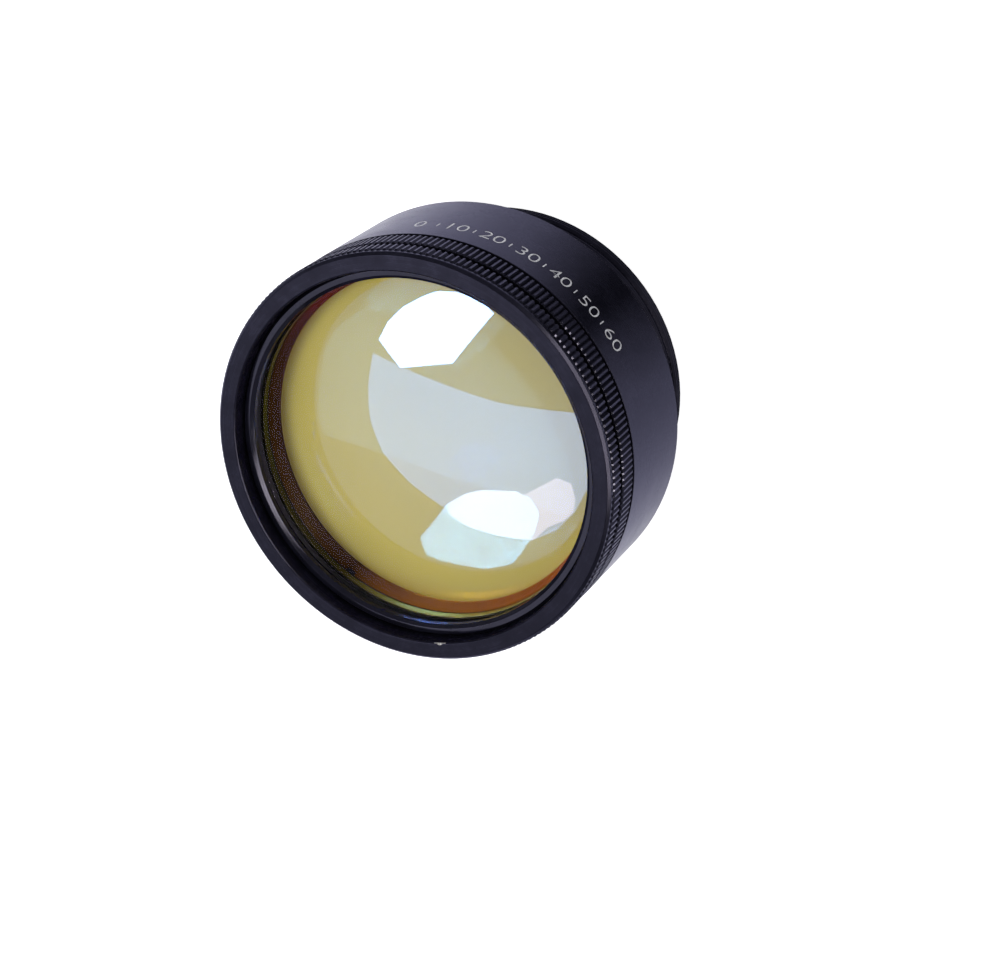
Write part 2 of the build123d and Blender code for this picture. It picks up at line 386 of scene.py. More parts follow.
class Nodes:
    """A material's nodes, added and linked one at a time."""

    def __init__(self, name):
        self.material = bpy.data.materials.new(name)
        self.material.use_nodes = True
        self.tree = self.material.node_tree
        self.tree.nodes.clear()
        self.out = self.add("ShaderNodeOutputMaterial")

    def add(self, kind, inputs=None, **values):
        """A node with its settings, and with what its sockets are set or linked to."""
        node = self.tree.nodes.new(kind)
        for key, value in values.items():
            setattr(node, key, value)
        for key, value in (inputs or {}).items():
            if isinstance(value, bpy.types.NodeSocket):
                self.tree.links.new(value, node.inputs[key])
            else:
                node.inputs[key].default_value = value
        return node

    def surface(self, shader):
        """Sends a shader to the surface."""
        self.tree.links.new(shader, self.out.inputs["Surface"])
        return self.material

    def principled(self, inputs):
        """Makes the surface a principled shader."""
        return self.surface(self.add("ShaderNodeBsdfPrincipled", inputs).outputs["BSDF"])

    def place(self):
        """Object coordinates."""
        coords = self.add("ShaderNodeTexCoord").outputs["Object"]
        return self.add("ShaderNodeMapping", {"Vector": coords}).outputs["Vector"]

    def noise(self, vector, scale, detail=3.0, roughness=0.5):
        inputs = {"Vector": vector, "Scale": scale, "Detail": detail, "Roughness": roughness}
        return self.add("ShaderNodeTexNoise", inputs).outputs["Fac"]

    def spread(self, value, low, high, start=0.3, end=0.7):
        """Maps a value's range start..end to low..high."""
        inputs = {"Value": value, "From Min": start, "From Max": end, "To Min": low, "To Max": high}
        return self.add("ShaderNodeMapRange", inputs).outputs["Result"]

    def mix_colour(self, factor, first, second):
        node = self.add("ShaderNodeMix", {"Factor": factor}, data_type="RGBA")
        for socket, value in ((node.inputs["A"], first), (node.inputs["B"], second)):
            if isinstance(value, bpy.types.NodeSocket):
                self.tree.links.new(value, socket)
            else:
                socket.default_value = (*value, 1)
        return node.outputs["Result"]

    def sum(self, operation, first, second):
        return self.add("ShaderNodeMath", {0: first, 1: second}, operation=operation).outputs["Value"]

    def mix(self, factor, first, second):
        """A share of a second shader over a first one."""
        return self.add("ShaderNodeMixShader", {"Fac": factor, 1: first, 2: second}).outputs["Shader"]

    def bump(self, height, distance):
        inputs = {"Height": height, "Distance": distance, "Strength": 1.0}
        return self.add("ShaderNodeBump", inputs).outputs["Normal"]


def lathe_lines(nodes):
    """Fine rings that the cutting tool leaves: a noise of radius and height only."""
    rings_per_mm = 9.0
    coords = nodes.add("ShaderNodeTexCoord").outputs["Object"]
    parts = nodes.add("ShaderNodeSeparateXYZ", {"Vector": coords}).outputs
    squares = [nodes.sum("MULTIPLY", parts[axis], parts[axis]) for axis in "XY"]
    radius = nodes.sum("SQRT", nodes.sum("ADD", *squares), 0.0)
    rings = nodes.add("ShaderNodeCombineXYZ", {"X": radius, "Y": parts["Z"]}).outputs["Vector"]
    return nodes.noise(rings, rings_per_mm / MM, 2.0, 0.6)


def kept(name, make, *values):
    """A material made once and used again by its name."""
    if name not in bpy.data.materials:
        make(name, *values)
    return bpy.data.materials[name]


# How strongly black anodising mirrors, and in which colour.
ANODISED_INDEX = 1.12
SHEEN_TINT = (0.74, 0.73, 1.0, 1)


def anodised(name, roughness, black, index=ANODISED_INDEX):
    """Black anodised aluminium: turned rings, faint clouding and a violet satin sheen."""
    nodes = Nodes(name)
    clouds = nodes.noise(nodes.place(), 160, 4.0, 0.6)
    fine = nodes.noise(nodes.place(), 5200, 2.0, 0.6)
    rings = lathe_lines(nodes)
    base = nodes.mix_colour(nodes.spread(clouds, 0, 1), times(0.8, black), times(1.3, black))
    speck = nodes.spread(fine, 0, 0.5, 0.62, 0.72)
    shade = nodes.sum("ADD", nodes.spread(clouds, -0.03, 0.03), nodes.spread(rings, -0.03, 0.03))
    height = nodes.sum("ADD", rings, nodes.sum("MULTIPLY", fine, 0.5))
    nodes.principled({
        "Base Color": nodes.mix_colour(speck, base, times(2.6, black)),
        "Metallic": 0.5,
        "IOR": index,
        "Specular Tint": SHEEN_TINT,
        "Roughness": nodes.sum("ADD", shade, roughness),
        "Normal": nodes.bump(height, 0.0025 * MM),
    })


def satin_black():
    housing = chosen("scan_lens_housing")
    return kept("satin_black_anodising", anodised, housing.roughness, housing.black)


def bare_metal():
    """Aluminium laid bare in the nick."""
    nodes = Nodes("bare_aluminium")
    grain = nodes.noise(nodes.place(), 9000)
    bare = tuple(chosen("scan_lens_housing").bare)
    return nodes.principled({
        "Base Color": nodes.mix_colour(grain, times(0.7, bare), bare),
        "Roughness": nodes.spread(grain, 0.25, 0.45),
        "Metallic": 0.6,
    })


def painted_reflection(name, tint):
    """Black anodising whose base colour is a painted reflection of the coating, with painted shade away from
    one side.
    """
    nodes = Nodes(name)
    clouds = nodes.noise(nodes.place(), 220)
    # Painted light: faces towards this direction get the full painted reflection, the rest painted shade of
    # a tenth of it.
    painted_lit_side = (0.26, -0.966, 0)
    towards = nodes.add("ShaderNodeVectorMath", {0: nodes.place(), 1: painted_lit_side}, operation="DOT_PRODUCT")
    painted_lit_share = nodes.spread(towards.outputs["Value"], 0.0, 1.0, 0.023, 0.038)
    painted_reflection_tint = nodes.mix_colour(nodes.spread(clouds, 0, 1), times(0.8, tint), tuple(tint))
    nodes.principled({
        "Base Color": nodes.mix_colour(painted_lit_share, times(0.09, tint), painted_reflection_tint),
        "Roughness": nodes.spread(lathe_lines(nodes), 0.22, 0.28),
        "Metallic": 0.9,
        "IOR": ANODISED_INDEX,
        "Specular Tint": (*times(1 / max(tint), tint), 1),
    })


# A material of painted reflection, made once.
def painted_reflection_black(name, tint):
    return kept(name, painted_reflection, tint)


def worn_and_highlit_black():
    """Anodising on the teeth's crests, lighter for handling wear and as a painted highlight."""
    return kept("burnished_black_anodising", anodised, 0.3, times(2.2, chosen("scan_lens_housing").black))


def painted_shade_black():
    """Painted shade: anodising painted darker on the teeth's flanks and roots."""
    return kept("deep_black_anodising", anodised, 0.4, times(0.5, chosen("scan_lens_housing").black))


def smooth_black():
    """Smooth anodising of the rings and of the teeth's bevels."""
    black = times(0.9, chosen("scan_lens_housing").black)
    return kept("smooth_black_anodising", anodised, 0.075, black, 1.36)


# --- Turned metal ------------------------------------------------------------------


def tooth(name, foot, top, run_out, bevel, pitch_turn, depth, sink):
    """One knurl tooth: a ridge along the axis with a bevelled front end and a sloped rear end."""
    root_r = CREST_R - depth
    crest_width = 0.30
    width = 2 * root_r * math.tan(pitch_turn / 2)
    deselect()
    bpy.ops.mesh.primitive_cube_add(size=1)
    piece = bpy.context.object
    piece.name = name
    piece.scale = (depth + sink, width, top - foot)
    piece.location = (CREST_R - (depth + sink) / 2, 0, (top + foot) / 2)
    set_place(piece)
    edit_all()
    for place, way in (((0, 0, top - bevel), UP), ((0, 0, foot + run_out), UP), ((root_r, 0, 0), (1, 0, 0))):
        select_all()
        bpy.ops.mesh.bisect(plane_co=place, plane_no=way)
    crest = CREST_R - MERGE
    select_where(piece, lambda p: p.x > crest)
    bpy.ops.transform.resize(value=(1, crest_width, 1), center_override=(0, 0, 0))
    select_where(piece, lambda p: p.x > crest and p.z > top - MERGE)
    bpy.ops.transform.translate(value=(-bevel, 0, 0))
    if run_out:
        select_where(piece, lambda p: p.x > crest and p.z < foot + MERGE)
        bpy.ops.transform.translate(value=(-depth * 0.9, 0, 0))
    end_edit()
    return piece


def thread_rib(name, foot, top, crest_r, pitch, sink):
    """Helical ridge of a 60 degree thread: a profile swept by a screw and faced off at both ends."""
    depth = THREAD_DEPTH * pitch
    crest = pitch / 16
    half = crest + (depth + sink) * math.tan(math.radians(30))
    start = foot - pitch * 1.5
    outline = [
        (crest_r - depth - sink, start - half),
        (crest_r, start - crest),
        (crest_r, start + crest),
        (crest_r - depth - sink, start + half),
    ]
    piece = draw_outline(name, outline + outline[:1])
    edit_all()
    merge_doubles()
    end_edit()
    screw = piece.modifiers.new("screw", "SCREW")
    screw.axis = "Z"
    screw.angle = 2 * math.pi
    screw.screw_offset = pitch
    screw.iterations = math.ceil((top - foot) / pitch) + 3
    screw.steps = 96
    screw.render_steps = 96
    screw.use_merge_vertices = True
    bpy.ops.object.modifier_apply(modifier=screw.name)
    bpy.ops.object.mode_set(mode="EDIT")
    for height, inner, outer in ((foot, True, False), (top, False, True)):
        select_all()
        bpy.ops.mesh.bisect(
            plane_co=(0, 0, height), plane_no=(0, 0, 1), use_fill=True, clear_inner=inner, clear_outer=outer
        )
    select_all()
    face_outwards()
    end_edit()
    smooth_below(piece, 25)
    return piece


BODY_TEETH = 217
CELL_TEETH = 206


def knurl(name, foot, top, count, run_out):
    """A band of teeth round the housing."""
    housing = chosen("scan_lens_housing")
    one = tooth(name, foot, top, run_out, 0.3 * MM, 2 * math.pi / count, housing.knurl_depth, 0.3 * MM)
    # Flanks and roots get painted shade, crests a lighter black for wear and as a painted highlight, front
    # bevels the smooth black.
    for material in (painted_shade_black(), worn_and_highlit_black(), smooth_black()):
        one.data.materials.append(material)
    crest = CREST_R - 0.2 * MM
    paint(one, 1, lambda place, way: place.x > crest and way.x > 0.9)
    paint(one, 2, lambda place, way: place.x > crest and way.z > 0.4)
    band = repeat_round(one, count)
    activate(band)
    bpy.ops.object.shade_flat()
    return band


def spanner_slots(ring, inner_r, outer_r, face_z, turn=math.radians(50)):
    """Two slots across a ring's face for the spanner that tightens it."""
    for side in (0, math.pi):
        deselect()
        bpy.ops.mesh.primitive_cube_add(size=1)
        tool = bpy.context.object
        tool.scale = (2.2 * (outer_r - inner_r), 2.4 * MM, 2 * MM)
        tool.location = ((inner_r + outer_r) / 2, 0, face_z)
        set_place(tool)
        tool.rotation_euler = (0, 0, turn + side)
        set_place(tool)
        edit_all()
        bpy.ops.mesh.bevel(offset=0.35 * MM, segments=3)
        end_edit()
        cut(ring, tool)
    return ring


class SCANLENS_OT_barrel(bpy.types.Operator):
    """Turn the barrel, cut its thread and knurl its mouth"""

    bl_idname = "scanlens.barrel"
    bl_label = "Barrel"

    def execute(self, context):
        housing = chosen("scan_lens_housing")
        run_out = 0.3 * MM
        root_r = THREAD_R - THREAD_DEPTH * housing.thread_pitch
        relief_r = THREAD_R - housing.relief
        core_r = CREST_R - housing.knurl_depth - housing.knurl_core
        knurl_foot = BODY_TOP - housing.body_knurl
        skirt_bore = CELL_SEAL_R - SEAL_HEIGHT
        lead_r = THREAD_R - housing.lead_step
        web_r = REAR_R - 1.8 * MM
        web_foot = MIDDLE_FOOT - 2.5 * MM
        middle_bore_top = SPACER_TOP - 2.9 * MM
        outline = [
            (CELL_SEAL_R + CLEARANCE, BODY_TOP),
            (CELL_SEAL_R + CLEARANCE, BODY_TOP - SEAL_HEIGHT),
            (skirt_bore, BODY_TOP - SEAL_HEIGHT),
            (skirt_bore, FRONT_RING_TOP - run_out),
            (FRONT_RING_R + CLEARANCE, FRONT_RING_TOP - run_out),
            (FRONT_RING_R + CLEARANCE, FRONT_RING_FOOT - run_out),
            (FRONT_R + CLEARANCE, FRONT_RING_FOOT - run_out),
            (FRONT_R + CLEARANCE, middle_bore_top),
            (MIDDLE_R + CLEARANCE, middle_bore_top),
            (MIDDLE_R + CLEARANCE, MIDDLE_FOOT),
            (web_r, MIDDLE_FOOT),
            (web_r, web_foot),
            (REAR_R + CLEARANCE, web_foot),
            (REAR_R + CLEARANCE, REAR_RING_TOP + run_out),
            (REAR_RING_R + CLEARANCE, REAR_RING_TOP + run_out),
            (REAR_RING_R + CLEARANCE, 0),
            (lead_r - housing.thread_chamfer, 0),
            (root_r - housing.lead_step, housing.thread_chamfer * 0.7),
            (root_r - housing.lead_step, housing.lead_in),
            (relief_r, housing.lead_in),
            (relief_r, THREAD_FOOT),
            (root_r, THREAD_FOOT),
            (root_r, THREAD_TOP),
            (relief_r, THREAD_TOP),
            (relief_r, SHOULDER),
            (BODY_R, SHOULDER),
            (BODY_R, knurl_foot),
            (core_r, knurl_foot),
            (core_r, BODY_TOP),
        ]
        piece = turned("housing_barrel", outline)
        break_edges(piece, housing.edge)
        pitch = housing.thread_pitch
        main = thread_rib("thread", THREAD_FOOT, THREAD_TOP, THREAD_R, pitch, 0.1 * MM)
        lead = thread_rib("lead_thread", 0.25 * MM, housing.lead_in, lead_r, pitch, 0.1 * MM)
        teeth = knurl("body_teeth", knurl_foot, BODY_TOP, BODY_TEETH, 0.9 * MM)
        for part in (piece, main, lead):
            part.data.materials.append(satin_black())
        join(piece, main, lead, teeth)
        finish_piece(piece, "barrel", "black_anodised")
        return {"FINISHED"}


class SCANLENS_OT_window_cell(bpy.types.Operator):
    """Turn the knurled cell that holds the window"""

    bl_idname = "scanlens.window_cell"
    bl_label = "Window cell"

    def execute(self, context):
        housing = chosen("scan_lens_housing")
        rim_r = CREST_R - housing.rim_step
        core_r = CREST_R - housing.knurl_depth - housing.knurl_core
        neck_r = rim_r - housing.finger_depth
        skirt_r = CELL_SEAL_R - SEAL_HEIGHT - CLEARANCE
        land_foot = RIM_TOP - housing.rim_chamfer - housing.rim_land
        teeth_foot = BODY_TOP + housing.finger_groove
        aperture_r = WINDOW_R - housing.seat
        pocket_r = WINDOW_R + 0.1 * MM
        seal_floor = WINDOW_FOOT - SEAL_HEIGHT
        seal_groove_r = pocket_r - 1.3 * MM
        clamp_bore = CLAMP_R + CLEARANCE
        clamp_foot = WINDOW_TOP - 0.3 * MM
        outline = [
            (clamp_bore + housing.mouth_bevel, RIM_TOP),
            (rim_r - housing.rim_chamfer, RIM_TOP),
            (rim_r, RIM_TOP - housing.rim_chamfer),
            (rim_r, land_foot),
            (core_r, land_foot),
            (core_r, teeth_foot),
            (neck_r, teeth_foot),
            (neck_r, BODY_TOP),
            (skirt_r, BODY_TOP),
            (skirt_r, CELL_FOOT),
            (aperture_r, CELL_FOOT),
            (aperture_r, WINDOW_FOOT),
            (seal_groove_r, WINDOW_FOOT),
            (seal_groove_r, seal_floor),
            (pocket_r, seal_floor),
            (pocket_r, clamp_foot),
            (clamp_bore, clamp_foot),
            (clamp_bore, RIM_TOP - housing.mouth_bevel),
        ]
        piece = turned("knurled_window_cell", outline)
        break_edges(piece, housing.edge)
        nick_place = Vector((0, -clamp_bore - housing.mouth_bevel, RIM_TOP))
        self.nick(piece, nick_place)
        piece.data.materials.append(satin_black())
        teeth = knurl("cell_teeth", teeth_foot, land_foot, CELL_TEETH, 0)
        join(piece, teeth)
        # Olive painted reflection of the gold lens, with painted shade on one side.
        olive = painted_reflection_black("olive_polish", housing.olive)
        finish_piece(piece, "window_cell", "black_anodised", bare_metal(), olive)
        nick_reach = 0.6 * MM
        painted_reflection_r = aperture_r + 0.85 * MM
        painted_reflection_top = WINDOW_FOOT + MERGE
        paint(piece, 4, lambda place, way: (place - nick_place).length < nick_reach and abs(way.z) < 0.98)
        # Painted reflection: the bore round the aperture, below the window, takes the olive colour.
        paint(piece, 5, lambda place, way: reach(place) < painted_reflection_r and place.z < painted_reflection_top)
        return {"FINISHED"}

    def nick(self, piece, place):
        """A small dent in the rim's inner edge that shows bare metal."""
        deselect()
        bpy.ops.mesh.primitive_ico_sphere_add(subdivisions=2, radius=0.42 * MM)
        tool = bpy.context.object
        tool.scale = (1.5, 0.8, 0.6)
        tool.location = place + Vector((0, 0, 0.06 * MM))
        set_place(tool)
        cut(piece, tool)


class SCANLENS_OT_rings(bpy.types.Operator):
    """Turn the rings that hold the glass"""

    bl_idname = "scanlens.rings"
    bl_label = "Retaining rings"

    def execute(self, context):
        housing = chosen("scan_lens_housing")
        glass = chosen("scan_lens_glass")
        aperture_r = WINDOW_R - housing.seat
        clear_r = FRONT_R - glass.front_land
        clamp = turned(
            "window_clamp_ring",
            [
                (aperture_r, WINDOW_TOP),
                (CLAMP_R, WINDOW_TOP),
                (CLAMP_R, CLAMP_TOP - 0.7 * MM),
                (CLAMP_R - 0.7 * MM, CLAMP_TOP),
                (aperture_r + 0.8 * MM, CLAMP_TOP),
                (aperture_r, CLAMP_TOP - 0.8 * MM),
            ],
        )
        break_edges(clamp, 0.08 * MM)
        finish_piece(clamp, "window_retaining_ring", "black_anodised_gloss", smooth_black())
        front = turned(
            "front_lens_clamp_ring",
            [
                (clear_r, FRONT_RING_FOOT),
                (FRONT_RING_R, FRONT_RING_FOOT),
                (FRONT_RING_R, FRONT_RING_TOP),
                (aperture_r, FRONT_RING_TOP),
                (clear_r, FRONT_RING_FOOT + 0.8 * MM),
            ],
        )
        spanner_slots(front, aperture_r, FRONT_RING_R, FRONT_RING_TOP)
        break_edges(front, 0.06 * MM)
        # Amber painted reflection of the gold lens, with painted shade on one side.
        amber = painted_reflection_black("amber_polish", housing.amber)
        finish_piece(front, "front_lens_ring", "black_anodised_gloss", smooth_black(), amber)
        # Painted reflection: the flare inside the aperture takes the amber colour.
        paint(front, 1, lambda place, way: reach(place) < aperture_r - 0.02 * MM)
        inner_r = REAR_R - glass.rear_back_land
        nose_r = REAR_R - glass.rear_back_land / 2
        mouth_r = inner_r + 2.4 * MM
        nose_foot = REAR_RING_TOP - 1.0 * MM
        rear = turned(
            "rear_lens_clamp_ring",
            [
                (inner_r, REAR_RING_TOP),
                (inner_r, REAR_RING_TOP - 1.2 * MM),
                (mouth_r, REAR_RING_FOOT),
                (REAR_RING_R, REAR_RING_FOOT),
                (REAR_RING_R, nose_foot),
                (nose_r, nose_foot),
                (nose_r, REAR_RING_TOP),
            ],
        )
        spanner_slots(rear, mouth_r, REAR_RING_R, REAR_RING_FOOT)
        break_edges(rear, 0.08 * MM)
        finish_piece(rear, "rear_lens_ring", "black_anodised", smooth_black())
        return {"FINISHED"}


# --- Glass ---------------------------------------------------------------------------


def cap(radius, reach, steps=24):
    """Points (distance, drop) of a spherical cap, from the pole out to its land."""
    points = []
    for i in range(steps + 1):
        angle = math.asin(reach / radius) * i / steps
        points.append((radius * math.sin(angle), radius * (1 - math.cos(angle))))
    return points


def lens(name, edge_r, top, foot, bevel=0.3 * MM):
    """Lens turned from its two faces, each (apex height, radius, cap reach, +1 if it swells upwards)."""
    top_z, top_radius, top_reach, top_way = top
    foot_z, foot_radius, foot_reach, foot_way = foot
    upper = [(r, top_z - top_way * d) for r, d in cap(top_radius, top_reach)]
    lower = [(r, foot_z - foot_way * d) for r, d in cap(foot_radius, foot_reach)]
    land_top = upper[-1][1]
    land_foot = lower[-1][1]
    edge = [
        (edge_r - bevel, land_top),
        (edge_r, land_top - bevel),
        (edge_r, land_foot + bevel),
        (edge_r - bevel, land_foot),
    ]
    return turned(name, upper + edge + lower[::-1], closed=False)


def paint_faces(piece, top_reach, foot_reach):
    """Slot 0 for the upper polished face, 1 for the lower one, 2 for lands, bevels and the edge."""
    paint(piece, 2, lambda place, way: True)
    paint(piece, 0, lambda place, way: way.z > 0.3 and reach(place) < top_reach)
    paint(piece, 1, lambda place, way: way.z < -0.3 and reach(place) < foot_reach)


def facing(nodes, low, high):
    """From low, seen square on, to high, seen at a glancing angle."""
    weight = nodes.add("ShaderNodeLayerWeight", {"Blend": 0.35})
    return nodes.spread(weight.outputs["Fresnel"], low, high, 0.0, 1.0)


def hazy(nodes, tint, scale):
    """A colour with a very faint unevenness."""
    haze = nodes.noise(nodes.place(), scale)
    return nodes.mix_colour(nodes.spread(haze, 0, 1), times(0.95, tint), tint)


def mirror_layer(nodes, tint, roughness):
    """The mirroring part of a coating."""
    inputs = {"Roughness": roughness, "Color": hazy(nodes, tint, 60)}
    return nodes.add("ShaderNodeBsdfAnisotropic", inputs).outputs["BSDF"]


def polished(nodes, index):
    """Clear glass."""
    return nodes.add("ShaderNodeBsdfRefraction", {"IOR": index, "Roughness": 0.0}).outputs["BSDF"]


def inner_coating(name, tint, amount, index):
    """Polished glass under a coating that mirrors a share of the light in its own colour."""
    nodes = Nodes(name)
    mirror = mirror_layer(nodes, tint, 0.02)
    return nodes.surface(nodes.mix(facing(nodes, amount, 1.0), polished(nodes, index), mirror))


def front_coating(name, gold, painted_gold_share, violet, violet_share, index):
    """Polished glass with a gold diffuse colour that is a painted reflection of the coating, and a coating
    that mirrors violet.
    """
    nodes = Nodes(name)
    # Painted reflection: a plain gold diffuse colour stands in for the gold that the coating reflects.
    painted_gold_reflection = nodes.add("ShaderNodeBsdfDiffuse", {"Color": hazy(nodes, gold, 45)}).outputs["BSDF"]
    body = nodes.mix(painted_gold_share / (1 - violet_share), polished(nodes, index), painted_gold_reflection)
    mirror = mirror_layer(nodes, violet, 0.0)
    return nodes.surface(nodes.mix(facing(nodes, violet_share, 1.0), body, mirror))


def ground_edge():
    """Ground glass round the rim of a lens, which the coating leaves amber."""
    nodes = Nodes("ground_glass_edge")
    grain = nodes.noise(nodes.place(), 2600)
    return nodes.principled({
        "Base Color": nodes.mix_colour(grain, (0.16, 0.075, 0.018), (0.26, 0.13, 0.035)),
        "Roughness": nodes.spread(grain, 0.45, 0.7),
        "Normal": nodes.bump(grain, 0.02 * MM),
    })


def window_glass():
    """Flat coated window: nearly nothing but a faint reflection."""
    nodes = Nodes("window_glass")
    haze = nodes.spread(nodes.noise(nodes.place(), 90), 0, 1)
    tint = nodes.mix_colour(haze, (0.995, 0.998, 1.0), (0.985, 0.992, 1.0))
    clear = nodes.add("ShaderNodeBsdfTransparent", {"Color": tint}).outputs["BSDF"]
    inputs = {"Roughness": 0.0, "Color": (0.7, 0.6, 1.0, 1)}
    mirror = nodes.add("ShaderNodeBsdfAnisotropic", inputs).outputs["BSDF"]
    weight = nodes.add("ShaderNodeFresnel", {"IOR": 1.12}).outputs["Fac"]
    return nodes.surface(nodes.mix(weight, clear, mirror))


class SCANLENS_OT_glass(bpy.types.Operator):
    """Grind, polish and coat the window and the lenses"""

    bl_idname = "scanlens.glass"
    bl_label = "Window and lenses"

    def execute(self, context):
        glass = chosen("scan_lens_glass")
        self.edge = ground_edge()
        gold = front_coating(
            "gold_and_violet_coating",
            glass.gold,
            glass.painted_gold_share,
            glass.violet,
            glass.violet_share,
            glass.index,
        )
        blue = inner_coating("blue_coating", glass.blue, glass.blue_share, glass.index)
        deep_share = 0.12
        deep = inner_coating("deep_blue_coating", glass.blue, deep_share, glass.index)
        self.coated_lens(
            "coated_front_lens",
            "front_lens",
            (glass.front_radius, glass.front_land),
            (glass.front_back_radius, glass.front_back_land, -1),
            (gold, blue),
        )
        self.window()
        self.coated_lens(
            "coated_rear_lens",
            "rear_lens",
            (glass.rear_radius, glass.rear_land),
            (glass.rear_back_radius, glass.rear_back_land, 1),
            (deep, blue),
        )
        self.coated_lens(
            "coated_middle_lens",
            "middle_lens",
            (glass.middle_radius, glass.middle_land),
            (glass.middle_back_radius, glass.middle_back_land, 1),
            (deep, deep),
        )
        return {"FINISHED"}

    def coated_lens(self, name, node, upper, lower, coatings):
        """A lens from its faces' (radius, land), the lower with +1 if it is hollow, -1 if it swells."""
        foot, top = box_heights(node)
        edge_r = box_radius(node)
        upper_radius, upper_land = upper
        lower_radius, lower_land, lower_way = lower
        upper_reach = edge_r - upper_land
        lower_reach = edge_r - lower_land
        if lower_way > 0:
            foot += cap(lower_radius, lower_reach)[-1][1]
        upper_face = (top, upper_radius, upper_reach, 1)
        lower_face = (foot, lower_radius, lower_reach, lower_way)
        piece = lens(name, edge_r, upper_face, lower_face)
        smooth_below(piece, 4)
        finish_piece(piece, node, "coated_glass", *coatings, self.edge)
        paint_faces(piece, upper_reach, lower_reach)

    def window(self):
        """The flat protective window."""
        bevel = 0.3 * MM
        window = turned(
            "protective_window",
            [
                (0, WINDOW_FOOT),
                (WINDOW_R - bevel, WINDOW_FOOT),
                (WINDOW_R, WINDOW_FOOT + bevel),
                (WINDOW_R, WINDOW_TOP - bevel),
                (WINDOW_R - bevel, WINDOW_TOP),
                (0, WINDOW_TOP),
            ],
            closed=False,
        )
        smooth_below(window, 20)
        finish_piece(window, "window", "window_glass", window_glass())


class SCANLENS_OT_inner(bpy.types.Operator):
    """Finish the spacer and the seals"""

    bl_idname = "scanlens.inner"
    bl_label = "Spacer and seals"

    def execute(self, context):
        housing = chosen("scan_lens_housing")
        spacer = kept("matt_black_anodising", anodised, 0.5, housing.black)
        rubber = Nodes("seal_rubber")
        grain = rubber.noise(rubber.place(), 1800)
        seal = rubber.principled({
            "Base Color": rubber.mix_colour(grain, (0.012, 0.012, 0.012), (0.024, 0.024, 0.023)),
            "Roughness": rubber.spread(grain, 0.55, 0.75),
            "Normal": rubber.bump(grain, 0.01 * MM),
        })
        materials = {"lens_spacer": spacer, "window_seal": seal, "cell_seal": seal, "rear_lens_seal": seal}
        for name, material in materials.items():
            node = frame["nodes"][name]
            node.data.materials.clear()
            node.data.materials.append(material)
        return {"FINISHED"}


class SCANLENS_OT_scale(bpy.types.Operator):
    """Print a plain scale of numerals and ticks round the barrel"""

    bl_idname = "scanlens.scale"
    bl_label = "Printed scale"

    def execute(self, context):
        scale = chosen("scan_lens_scale")
        ink = Nodes("white_ink")
        grain = ink.noise(ink.place(), 3000)
        shade = ink.mix_colour(ink.spread(grain, 0, 1), times(0.75, scale.ink), scale.ink)
        ink.principled({"Base Color": shade, "Roughness": ink.spread(grain, 0.45, 0.6)})
        marks = []
        middle_z = RIM_TOP - scale.below_rim
        for i in range(scale.count):
            marks.append(self.numeral(str(10 * i), scale.first + i * scale.step, middle_z, scale.letter))
        for i in range(scale.count - 1):
            marks.append(self.tick(scale.first + (i + 0.5) * scale.step, middle_z, scale.letter))
        print_ = join(marks[0], *marks[1:])
        print_.name = "printed_scale"
        activate(print_)
        wrap = print_.modifiers.new("wrap", "CAST")
        wrap.cast_type = "CYLINDER"
        wrap.factor = 1
        wrap.use_z = False
        wrap.use_radius_as_size = False
        wrap.size = BODY_R + 0.01 * MM
        bpy.ops.object.modifier_apply(modifier=wrap.name)
        thick = print_.modifiers.new("ink", "SOLIDIFY")
        thick.thickness = 0.03 * MM
        thick.offset = -1
        bpy.ops.object.modifier_apply(modifier=thick.name)
        finish_piece(print_, None, None, ink.material)
        return {"FINISHED"}

    def stand(self, mark, turn, height):
        """Stands a flat mark on the barrel, its foot towards the rim."""
        mark.matrix_world = (
            Matrix.Rotation(turn, 4, "Z")
            @ Matrix.Translation((BODY_R, 0, height))
            @ Matrix.Rotation(math.pi / 2, 4, "Y")
            @ Matrix.Rotation(math.pi / 2, 4, "Z")
            @ Matrix.Rotation(math.pi, 4, "Z")
        )
        return set_place(mark)

    def numeral(self, text, turn, height, size):
        deselect()
        bpy.ops.object.text_add()
        mark = bpy.context.object
        mark.data.body = text
        mark.data.size = size * 1.35
        mark.data.align_x = "CENTER"
        mark.data.align_y = "CENTER"
        mark.data.resolution_u = 4
        mark.data.offset = -0.018 * size
        bpy.ops.object.convert(target="MESH")
        mark = bpy.context.object
        edit_all()
        merge_doubles()
        end_edit()
        return self.stand(mark, turn, height)

    def tick(self, turn, height, size):
        deselect()
        bpy.ops.mesh.primitive_plane_add(size=1)
        mark = bpy.context.object
        mark.scale = (0.28 * MM, size * 0.45, 1)
        set_place(mark)
        return self.stand(mark, turn, height)


# --- Stage -------------------------------------------------------------------------------

# The camera, its place from the middle of the rim's face.
CAMERA_LENS = 87.03
CAMERA_PLACE = Vector((0.25177, 0.16536, 0.44947))
CAMERA_TURN = (-22.703, 23.795, -9.581)
CAMERA_RIGHT = Vector((0.90223, -0.15230, -0.40347))

SEEN_WHITE = 0.90
MIRRORED_WHITE = 0.68
FLOOR_GREY = (0.80, 0.80, 0.80, 1)
FLOOR_R = 6
SKY_TINT = (0.93, 0.94, 1.0, 1)
SKY_STRENGTH = 0.45


def white_share(nodes):
    """How white the floor is for the camera, and by a reflection or through glass."""
    path = nodes.add("ShaderNodeLightPath")
    direct = nodes.sum("MULTIPLY", path.outputs["Is Camera Ray"], SEEN_WHITE)
    indirect = nodes.sum("MAXIMUM", path.outputs["Is Glossy Ray"], path.outputs["Is Transmission Ray"])
    return nodes.sum("MAXIMUM", direct, nodes.sum("MULTIPLY", indirect, MIRRORED_WHITE))


